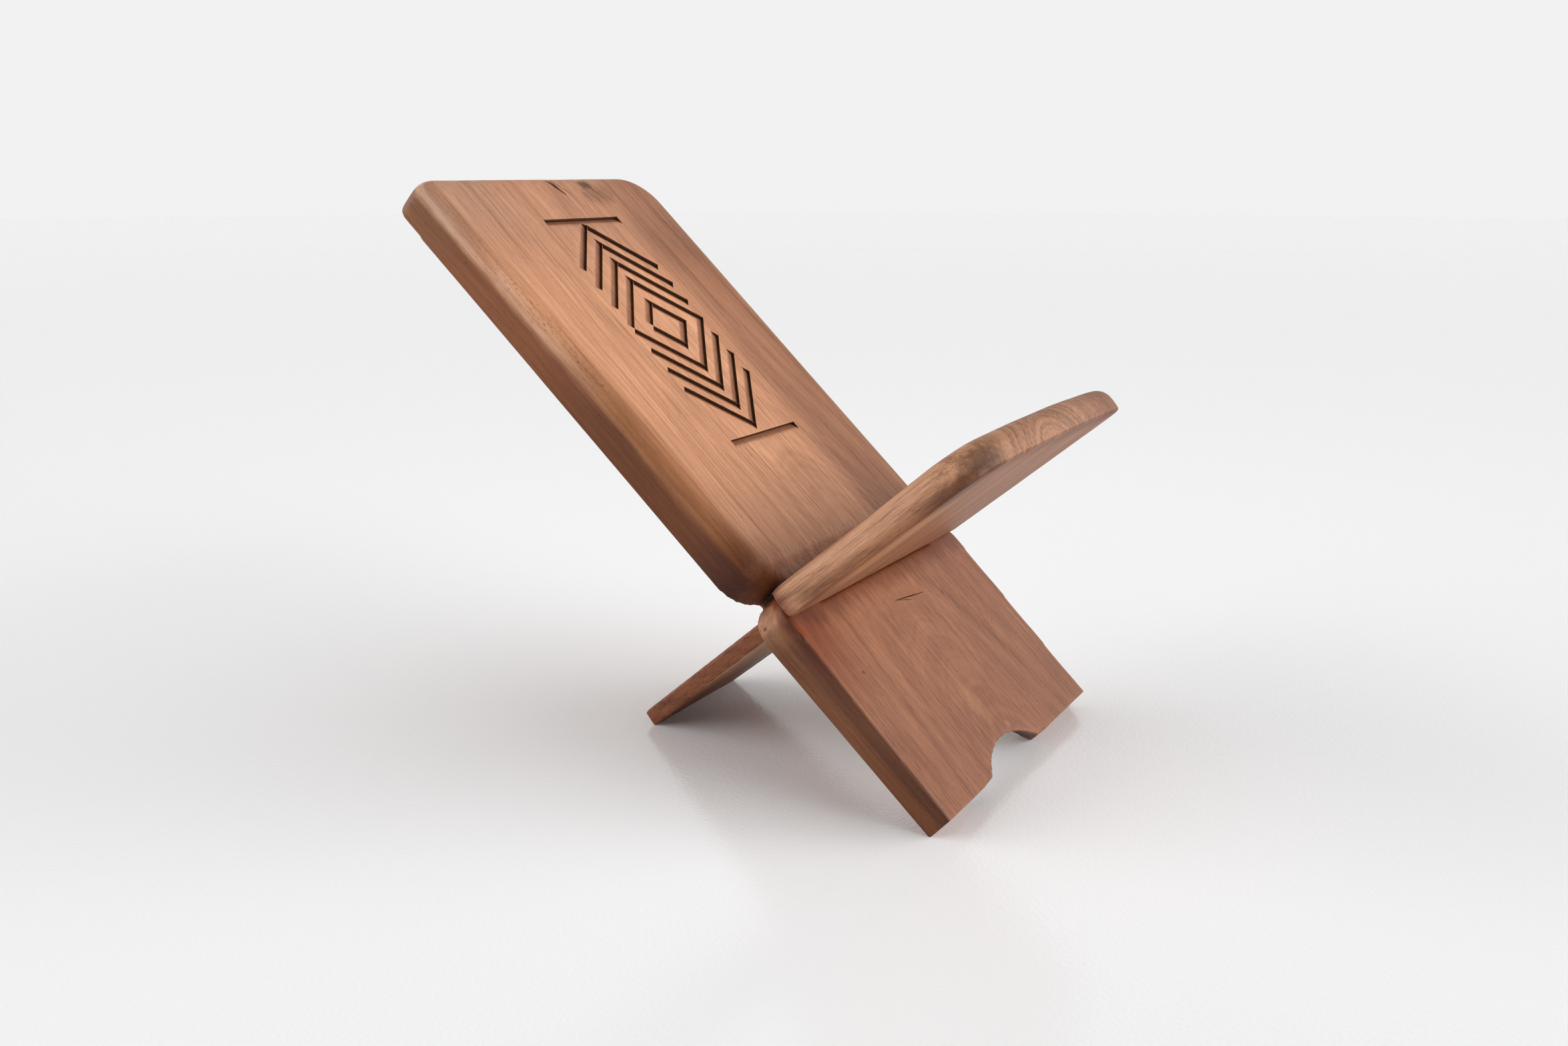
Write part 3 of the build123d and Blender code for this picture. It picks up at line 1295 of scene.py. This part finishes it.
@dataclass(frozen=True)
class Wood:
    """Oiled hardwood, with the zones and marks of one plank."""

    name: str
    seed: float                     # shifts every pattern
    light: Colour = (0.680, 0.345, 0.190)
    middle: Colour = (0.495, 0.232, 0.120)
    dark: Colour = (0.290, 0.122, 0.060)
    # near-black, for knots and pores, and for painted shade in the right notch
    near_black: Colour = (0.030, 0.014, 0.009)
    glow: Colour = (0.40, 0.175, 0.075)
    shade: float = 1.0              # darkens every colour
    rings: Rings = Rings()
    patina: Figure = Figure(Pattern(60.0, 120.0), tone=0.35)
    streak: Figure = Figure(Pattern(3.4, 190.0), tone=0.95, relief=0.3)
    fibre: Figure = Figure(Pattern(0.75, 55.0, roughness=0.6), tone=1.25, relief=0.6)
    pore: Figure = Figure(Pattern(0.6, 6.5, detail=1.0), tone=-0.30, relief=-0.8)
    pore_edge: Range = (0.62, 0.74)
    relief: float = 0.5 * MM        # height of a relief of 1
    relief_strength: float = 0.5
    roughness: float = 0.46
    dark_roughness: float = 0.10    # what the darkest wood adds to it
    pore_roughness: float = 0.12
    sheen: float = 0.26
    zones: tuple[Zone, ...] = ()
    zone_edge: Pattern = Pattern(7.0, 45.0)
    marks: tuple[Mark, ...] = ()
    mark_edge: Pattern = Pattern(5.0, 14.0, detail=3.0, roughness=0.6)
    mark_fade: Range = (1.15, 0.35)       # shares of its size where a mark begins and is complete
    dot: Pattern = Pattern(1.3, 4.0, detail=1.0)
    dot_edge: Range = (0.60, 0.68)

    def make(self, matrix: Matrix) -> bpy.types.Material:
        """Build the material.

        Args:
            matrix: Place of the plank's flat frame in the chair.

        Returns:
            The material.
        """
        bench = NodeBench(bpy.data.materials.new(self.name))
        place = FlatPlace.on(bench, matrix, self.seed)
        fibre, streak = place.noise(self.fibre.pattern), place.noise(self.streak.pattern)
        pores = place.noise(self.pore.pattern).step(*self.pore_edge)
        tone = 0.5 + self.rings.tone(place) + place.wander(self.patina.pattern) * self.patina.tone
        tone = tone + (streak - 0.5) * self.streak.tone + (fibre - 0.5) * self.fibre.tone
        tone = (tone + pores * self.pore.tone).clamped()
        colour = bench.ramp(tone, [(0.0, self.dark), (0.5, self.middle), (1.0, self.light)])
        colour = self.add_marks(place, self.add_zones(place, colour))
        if self.shade != 1.0:
            colour = bench.mix(1.0, colour, (self.shade,) * 3, Blend.TINT)
        height = fibre * self.fibre.relief + streak * self.streak.relief + pores * self.pore.relief
        inputs = {"Strength": self.relief_strength, "Distance": self.relief, "Height": height}
        bump = bench.node("ShaderNodeBump", inputs=inputs).outputs["Normal"]
        rough = self.roughness + (1 - tone) * self.dark_roughness + pores * self.pore_roughness
        inputs = {
            "Base Color": colour,
            "Roughness": rough,
            "Specular IOR Level": self.sheen,
            "Normal": bump,
        }
        body = bench.node("ShaderNodeBsdfPrincipled", inputs=inputs)
        bench.node("ShaderNodeOutputMaterial", inputs={"Surface": body.outputs["BSDF"]})
        return bench.owner

    def add_zones(self, place: FlatPlace, colour: bpy.types.NodeSocket) -> bpy.types.NodeSocket:
        """Tint each zone of the surface.

        Args:
            place: Place on the surface.
            colour: The wood's colour.

        Returns:
            The tinted colour.
        """
        wander = place.wander(self.zone_edge)
        for zone in self.zones:
            share: Number = 1.0
            for span in zone.spans:
                along = sum(part * weight for part, weight in zip(place.parts, span.axis) if weight)
                share = share * (along + wander * (2 * zone.ragged)).step(span.none, span.full)
            colour = place.bench.mix(share, colour, zone.tint, Blend.TINT)
        return colour

    def add_marks(self, place: FlatPlace, colour: bpy.types.NodeSocket) -> bpy.types.NodeSocket:
        """Paint each mark over the wood.

        Args:
            place: Place on the surface.
            colour: The wood's colour.

        Returns:
            The marked colour.
        """
        ragged = place.wander(self.mark_edge)
        unshifted = replace(place, seed=0.0)     # all dots come from one pattern
        paints = {
            Blemish.KNOT_AND_SHADE: self.near_black,
            Blemish.STAIN: self.dark,
            Blemish.GLOW: self.glow,
            Blemish.PORES: self.near_black,
        }
        for mark in self.marks:
            sides = zip(place.parts, mark.centre, mark.size)
            away = [(part - middle) / size for part, middle, size in sides]
            reach = sum(part * part for part in away).root() + ragged * mark.ragged
            share = reach.step(*self.mark_fade) * mark.strength
            if mark.kind is Blemish.PORES:
                share = share * unshifted.noise(self.dot).step(*self.dot_edge)
            colour = place.bench.mix(share, colour, paints[mark.kind])
        return colour


@dataclass(frozen=True)
class StudioPaper:
    """The matt white sweep that the chair stands on, with a faint sheen."""

    name: str = "studio_paper"
    colour: Colour = (0.86, 0.86, 0.865)
    roughness: float = 0.10
    grain: float = 260.0            # specks to the metre
    grain_detail: float = 3.0
    grain_relief: float = 0.4 * MM
    grain_strength: float = 0.6

    def make(self) -> bpy.types.Material:
        """Build the material.

        Returns:
            The material.
        """
        bench = NodeBench(bpy.data.materials.new(self.name))
        place = bench.node("ShaderNodeTexCoord").outputs["Object"]
        inputs = {"Vector": place, "Scale": self.grain, "Detail": self.grain_detail}
        grain = bench.node("ShaderNodeTexNoise", inputs=inputs).outputs["Fac"]
        inputs = {"Strength": self.grain_strength, "Distance": self.grain_relief, "Height": grain}
        bump = bench.node("ShaderNodeBump", inputs=inputs).outputs["Normal"]
        inputs = {"Base Color": self.colour, "Roughness": self.roughness, "Normal": bump}
        body = bench.node("ShaderNodeBsdfPrincipled", inputs=inputs)
        bench.node("ShaderNodeOutputMaterial", inputs={"Surface": body.outputs["BSDF"]})
        return bench.owner


# --------------------------------------------------------------------------------------------------
# Studio
# --------------------------------------------------------------------------------------------------


@dataclass(frozen=True)
class SoftBox:
    """A square lamp behind white cloth, which faces a point."""

    name: str
    place: tuple[float, float, float]
    aim: tuple[float, float, float]
    size: float
    power: float

    def hang(self) -> bpy.types.Object:
        """Put the lamp in the scene.

        Returns:
            The lamp.
        """
        lamp = bpy.data.lights.new(self.name, "AREA")
        lamp.shape = "SQUARE"
        lamp.size = self.size
        lamp.energy = self.power
        obj = add_object(self.name, lamp)
        obj.location = self.place
        obj.rotation_euler = (Vector(self.aim) - Vector(self.place)).to_track_quat("-Z", "Y").to_euler()
        return obj


@dataclass(frozen=True)
class BrightWall:
    """A wall-sized softbox, as a bright part of the studio's surroundings."""

    heading: float      # where it stands, in degrees round Z from +X
    inner: float        # half the angle over which it is fully bright
    outer: float        # half the angle over which it fades out
    strength: float

    def glow(self, east: Shade, north: Shade, level: Shade) -> Shade:
        """How bright it is in a direction, before its foot and head cut it off.

        Args:
            east: The direction's share along X.
            north: Its share along Y.
            level: Its length on the level.

        Returns:
            The brightness.
        """
        turn = math.radians(self.heading)
        facing = (east * math.cos(turn) + north * math.sin(turn)) / level
        lit = facing.step(math.cos(math.radians(self.outer)), math.cos(math.radians(self.inner)))
        return lit * self.strength


def rise(up: Shade, angles: Range) -> Shade:
    """Smooth step between two heights of the surroundings, in degrees above the horizon."""
    return up.step(*(math.sin(math.radians(angle)) for angle in angles))


@dataclass(frozen=True)
class Studio:
    """White floor and walls, soft lights on both sides, and the camera."""

    floor_radius: float = 18.0
    horizon: float = 0.885
    backdrop: float = 0.885     # the white wall that the camera faces
    room: float = 0.04          # the dim room behind the camera
    room_fade: Range = (-0.5, 0.5)
    ceiling: float = 0.12
    horizon_fade: Range = (5.0, 11.0)
    ceiling_fade: Range = (28.0, 42.0)
    wall_foot: Range = (4.0, 9.0)
    wall_head: Range = (29.0, 43.0)
    camera_place: tuple[float, float, float] = (-1.19420, -0.67355, 0.52525)
    camera_pitch: float = 76.558
    camera_heading: float = -61.046
    lens: float = 33.688
    film_width: float = 36.0
    walls: tuple[BrightWall, ...] = (
        BrightWall(heading=-73.0, inner=15.0, outer=55.0, strength=6.0),
        BrightWall(heading=130.0, inner=15.0, outer=50.0, strength=4.4),
    )
    lamps: tuple[SoftBox, ...] = (
        SoftBox("overhead_softbox", place=(0.1, -0.1, 2.4), aim=(0.0, 0.0, 0.0), size=2.0, power=10.0),
    )

    def floor(self) -> bpy.types.Object:
        """Lay the round paper floor.

        Returns:
            The floor.
        """
        mesh = bmesh.new()
        bmesh.ops.create_circle(mesh, cap_ends=True, segments=FLOOR_STEPS, radius=self.floor_radius)
        obj = add_mesh("floor", mesh)
        obj.data.materials.append(StudioPaper().make())
        return obj

    def camera(self) -> bpy.types.Object:
        """Stand the camera level with the chair's top, in front of it and to its right.

        Returns:
            The camera.
        """
        data = bpy.data.cameras.new("camera")
        data.sensor_width = self.film_width
        data.lens = self.lens
        data.clip_end = 4 * self.floor_radius
        obj = add_object("camera", data)
        obj.location = self.camera_place
        obj.rotation_euler = (math.radians(self.camera_pitch), 0.0, math.radians(self.camera_heading))
        bpy.context.scene.camera = obj
        return obj

    def daylight(self) -> None:
        """White backdrop, with a dim room behind the camera and a dim ceiling over both."""
        bench = NodeBench(bpy.data.worlds.new("studio"))
        direction = bench.node("ShaderNodeTexCoord").outputs["Generated"]
        parts = bench.node("ShaderNodeSeparateXYZ", inputs={0: direction}).outputs
        east, north, up = (Shade(bench, part) for part in parts)
        turn = math.radians(self.camera_heading)
        ahead = (north * math.cos(turn) - east * math.sin(turn)).step(*self.room_fade)
        strength = self.room + ahead * (self.backdrop - self.room)
        strength = strength + rise(up, self.ceiling_fade) * (self.ceiling - strength)
        level = (east * east + north * north).root()
        panel = rise(up, self.wall_foot) - rise(up, self.wall_head)
        for wall in self.walls:
            strength = strength + wall.glow(east, north, level) * panel
        strength = self.horizon + rise(up, self.horizon_fade) * (strength - self.horizon)
        inputs = {"Color": (1.0, 1.0, 1.0), "Strength": strength}
        background = bench.node("ShaderNodeBackground", inputs=inputs)
        bench.node("ShaderNodeOutputWorld", inputs={"Surface": background.outputs[0]})
        bpy.context.scene.world = bench.owner

    def set_up(self) -> None:
        """Build the whole studio."""
        self.floor()
        self.camera()
        self.daylight()
        for lamp in self.lamps:
            lamp.hang()
        bpy.context.scene.view_settings.view_transform = "Standard"


# --------------------------------------------------------------------------------------------------
# The chair
# --------------------------------------------------------------------------------------------------

X, Y, Z = (1.0, 0.0, 0.0), (0.0, 1.0, 0.0), (0.0, 0.0, 1.0)
REST_DEPTH = (0.0, -BackPlank().rest_slope, 1.0)     # square to the backrest's front face

# On the back plank
REST = Span(Y, 236.0, 262.0)
OVER_NOTCH = Span(Y, 236.0, 240.0)
LEFT = Span(X, 35.0, 95.0)
LEG = Span(Y, 262.0, 236.0)
LEG_SIDE = Span(X, -171.0, -173.5)
KNOB = (Span(X, -150.0, -166.0), Span(Y, 245.0, 236.0))

# On the seat plank
FRONT_EDGE = Span(Y, 466.0, 486.0)
UNDERSIDE = Span(Z, 1.0, -1.0)

BACK_WOOD = Wood(
    name="back_wood",
    seed=2.0,
    zones=(
        # The leg, darker and redder than the backrest: painted shade from the seat above
        Zone((0.50, 0.39, 0.31), (Span(Y, 262.0, 226.0),), ragged=0.0),
        # The upper end of the backrest's face, and the right corner there
        Zone((0.76, 0.75, 0.79), (Span(Y, 560.0, 655.0), Span(Z, 32.0, 39.0)), ragged=3.0),
        Zone((0.95, 1.06, 1.14), (Span(Y, 630.0, 690.0), Span(X, -60.0, -130.0))),
        # The left half of the backrest, of its lower part once more, and of the leg
        Zone((0.74, 0.69, 0.65), (Span(X, 45.0, 95.0), REST)),
        Zone((0.73, 0.68, 0.65), (LEFT, REST, Span(Y, 690.0, 600.0))),
        Zone((0.90, 0.88, 0.86), (LEFT, LEG)),
        # The foot
        Zone((0.90, 0.85, 0.80), (Span(Y, 100.0, 40.0),)),
        # The backrest's right side: dark behind, darker still low down, and pale on its ridge from wear and
        # a painted highlight
        Zone((0.39, 0.26, 0.15), (Span(X, -150.0, -163.0), Span(Z, 33.0, 22.0), REST), ragged=3.0),
        Zone((0.58, 0.49, 0.39), (Span(X, -140.0, -164.0), Span(Y, 560.0, 430.0), REST), ragged=2.0),
        Zone(
            (1.10, 1.26, 1.54),
            (Span(X, -148.0, -163.0), Span(Z, 27.0, 31.5), Span(Z, 38.0, 33.0), Span(Y, 400.0, 560.0)),
            ragged=4.5,
        ),
        # The lip over the right notch, and the wood round it: end grain, darkened with painted shade where
        # the lip turns under beside the seat
        Zone((0.60, 0.50, 0.38), (Span(X, -145.0, -168.0), Span(Y, 330.0, 280.0), OVER_NOTCH), ragged=2.0),
        Zone((0.72, 0.62, 0.56), (Span(X, -110.0, -150.0), Span(Y, 300.0, 262.0), OVER_NOTCH), ragged=3.0),
        # The leg's face under the seat: red at the right, with dark streaks that run down
        Zone(
            (0.72, 0.43, 0.20),
            (Span(X, -105.0, -158.0), Span(Z, 20.0, 28.0), Span(Y, 100.0, 190.0), Span(Y, 240.0, 232.0)),
        ),
        Zone(
            (0.58, 0.41, 0.27),
            (Span(Y, 183.0, 205.0), Span(Y, 262.0, 230.0), Span(X, -164.0, -150.0)),
            ragged=14.0,
        ),
        # The leg's right side, then its front half, its foot and its middle
        Zone((0.64, 0.62, 0.58), (LEG_SIDE, LEG), ragged=0.3),
        Zone((0.66, 0.62, 0.62), (LEG_SIDE, Span(Z, 14.5, 17.5), Span(Y, 206.0, 180.0)), ragged=1.0),
        Zone((0.86, 0.80, 0.72), (LEG_SIDE, Span(Y, 110.0, 20.0))),
        Zone((0.90, 0.88, 0.88), (LEG_SIDE, Span(Y, 120.0, 165.0), Span(Y, 198.0, 186.0))),
        # The knob below the right notch: dark in front, and worn pale at the side
        Zone((0.66, 0.70, 0.72), (*KNOB, Span(Z, 26.0, 31.0), Span(Y, 196.0, 208.0)), ragged=1.0),
        Zone((1.30, 1.58, 1.78), (*KNOB, Span(Z, 27.0, 19.0), Span(Y, 188.0, 214.0)), ragged=3.0),
        # Painted shade on the inside of the arch
        Zone(
            (0.42, 0.36, 0.32),
            (
                Span(Z, 24.0, 19.0),
                Span(Z, 0.2, 1.5),
                Span(Y, 62.0, 50.0),
                Span(X, -108.0, -104.0),
                Span(X, 74.0, 70.0),
            ),
            ragged=0.0,
        ),
        # Dirt and painted shade at the bottom of the carving, which also darkens the rear face behind the
        # carving
        Zone(
            (0.46, 0.38, 0.33),
            (
                Span(REST_DEPTH, 35.3, 33.6),
                Span(X, -100.0, -90.0),
                Span(X, 100.0, 90.0),
                Span(Y, 355.0, 365.0),
                Span(Y, 690.0, 680.0),
            ),
            ragged=0.0,
        ),
    ),
    marks=(
        # The knots at the top, and the pores of the right side
        Mark(Blemish.STAIN, (62.0, 692.0, 45.0), (30.0, 24.0, 20.0), 0.45, 1.6),
        Mark(Blemish.PORES, (-162.0, 570.0, 34.0), (12.0, 190.0, 10.0), 0.6),
        Mark(Blemish.KNOT_AND_SHADE, (60.0, 698.0, 45.0), (30.0, 18.0, 20.0), 0.30, 1.8),
        Mark(Blemish.KNOT_AND_SHADE, (50.0, 711.0, 44.0), (13.0, 8.0, 12.0), 0.72, 1.6),
        Mark(Blemish.KNOT_AND_SHADE, (1.0, 711.0, 44.0), (6.0, 9.0, 12.0), 0.60, 1.6),
        # Pin knots in the leg and the knob, and painted shade in the crevice of the right notch
        Mark(Blemish.KNOT_AND_SHADE, (72.5, 161.0, 32.5), (1.6, 2.0, 3.0), 0.8),
        Mark(Blemish.KNOT_AND_SHADE, (-134.5, 138.0, 32.0), (1.8, 2.4, 3.0), 0.8),
        Mark(Blemish.KNOT_AND_SHADE, (-171.0, 218.0, 8.0), (4.0, 2.4, 2.4), 0.85, 0.3),
        Mark(Blemish.KNOT_AND_SHADE, (-141.5, 239.0, 20.0), (9.0, 7.0, 20.0), 0.95, 0.4),
        # The foot
        Mark(Blemish.GLOW, (-19.0, 60.0, 28.0), (13.0, 26.0, 20.0), 0.35),
        Mark(Blemish.PORES, (46.0, 31.0, 27.0), (18.0, 7.0, 10.0), 0.9),
        Mark(Blemish.STAIN, (6.0, 27.0, 26.5), (4.0, 5.0, 8.0), 0.75),
    ),
)
# Darker copy of the back wood for the walls of grooves and cracks: dirt in the cuts, and painted shade
BACK_CUT_DIRT_AND_SHADE = replace(BACK_WOOD, name="back_cut_dirt_and_shade", shade=0.22)

SEAT_WOOD = Wood(
    name="seat_wood",
    seed=7.0,
    light=(0.610, 0.318, 0.186),
    middle=(0.420, 0.206, 0.111),
    dark=(0.205, 0.092, 0.047),
    rings=Rings(
        pith_x=45.0,
        pith_depth=8.0,
        pith_lean=0.02,
        straight_side=1.0,
        band=5.5,
        banding=1.25,
        lining=0.6,
    ),
    zones=(
        # The front edge, and its left part once more
        Zone((0.72, 0.66, 0.59), (FRONT_EDGE,)),
        Zone((0.74, 0.58, 0.46), (FRONT_EDGE, Span(X, -30.0, -110.0))),
        # The board's underside, the foot of its right side, and the right corner from below, darkened there
        # with painted shade
        Zone((0.72, 0.62, 0.54), (UNDERSIDE, Span(Y, 262.0, 280.0)), ragged=0.0),
        Zone(
            (0.64, 0.53, 0.46),
            (Span(X, 160.0, 172.0), Span(Z, 12.0, 3.0), Span(Y, 262.0, 300.0)),
            ragged=2.0,
        ),
        Zone(
            (0.50, 0.46, 0.44),
            (Span(X, 125.0, 160.0), Span(Z, 13.0, 4.0), Span(Y, 400.0, 450.0)),
            ragged=3.0,
        ),
        # The dry, pale wood of the underside's right edge
        Zone(
            (1.45, 1.65, 1.80),
            (Span(X, 90.0, 160.0), UNDERSIDE, Span(Y, 290.0, 330.0), Span(Y, 470.0, 400.0)),
            ragged=1.0,
        ),
        # The dark tail, which is dry and pale underneath
        Zone((0.42, 0.27, 0.19), (Span(Y, 280.0, 262.0),), ragged=0.0),
        Zone(
            (2.70, 4.60, 6.40),
            (Span(Z, 1.2, 0.6), Span(Y, 45.0, 140.0), Span(Y, 262.0, 230.0)),
            ragged=0.2,
        ),
    ),
    marks=(
        Mark(Blemish.KNOT_AND_SHADE, (158.0, 478.0, 12.0), (26.0, 18.0, 12.0), 0.6, 1.2),
        Mark(Blemish.PORES, (-60.0, 492.0, 1.0), (90.0, 8.0, 4.0), 0.9),
    ),
)

BACK_CHECKS = (
    # In the leg's face
    Check(Vector((0.015, 0.1737, 0.0335)), angle=-7.0, length=0.058, width=0.0022, depth=0.004),
    Check(Vector((0.004, 0.1730, 0.0335)), angle=-16.0, length=0.024, width=0.0014, depth=0.003),
    # At the top
    Check(Vector((0.0010, 0.7080, 0.0450)), angle=-61.0, length=0.028, width=0.0050, depth=0.006),
    Check(Vector((0.0120, 0.7040, 0.0455)), angle=-58.0, length=0.020, width=0.0014, depth=0.003),
    Check(Vector((0.0600, 0.7000, 0.0455)), angle=-60.0, length=0.034, width=0.0016, depth=0.003),
    Check(Vector((0.0500, 0.6950, 0.0455)), angle=-63.0, length=0.026, width=0.0013, depth=0.003),
    Check(Vector((0.0720, 0.6930, 0.0455)), angle=-57.0, length=0.024, width=0.0012, depth=0.003),
)


def dress(piece: bpy.types.Object, body: str, node: str) -> None:
    """Hand a finished plank to the frame and report it.

    Args:
        piece: The plank.
        body: The body it moves with.
        node: The plain solid that it stands for.
    """
    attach(piece, body)
    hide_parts(node)
    triangles = sum(len(polygon.vertices) - 2 for polygon in piece.data.polygons)
    log.info("%s stands for %s, with %d triangles", piece.name, node, triangles)


def main() -> None:
    """Build the studio, then the two planks."""
    logging.basicConfig(level=logging.INFO, format="%(name)s: %(message)s")
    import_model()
    Studio().set_up()
    back, seat = BackPlank(), SeatPlank()
    back_skins = [wood.make(back.matrix()) for wood in (BACK_WOOD, BACK_CUT_DIRT_AND_SHADE)]
    seat_skins = [SEAT_WOOD.make(seat.matrix())] * len(Skin)
    dress(back.build(seat, Ornament(), BACK_CHECKS, back_skins), "back", "back_plank")
    dress(seat.build(back, seat_skins), "seat", "seat_plank")


if __name__ == "__main__":
    main()
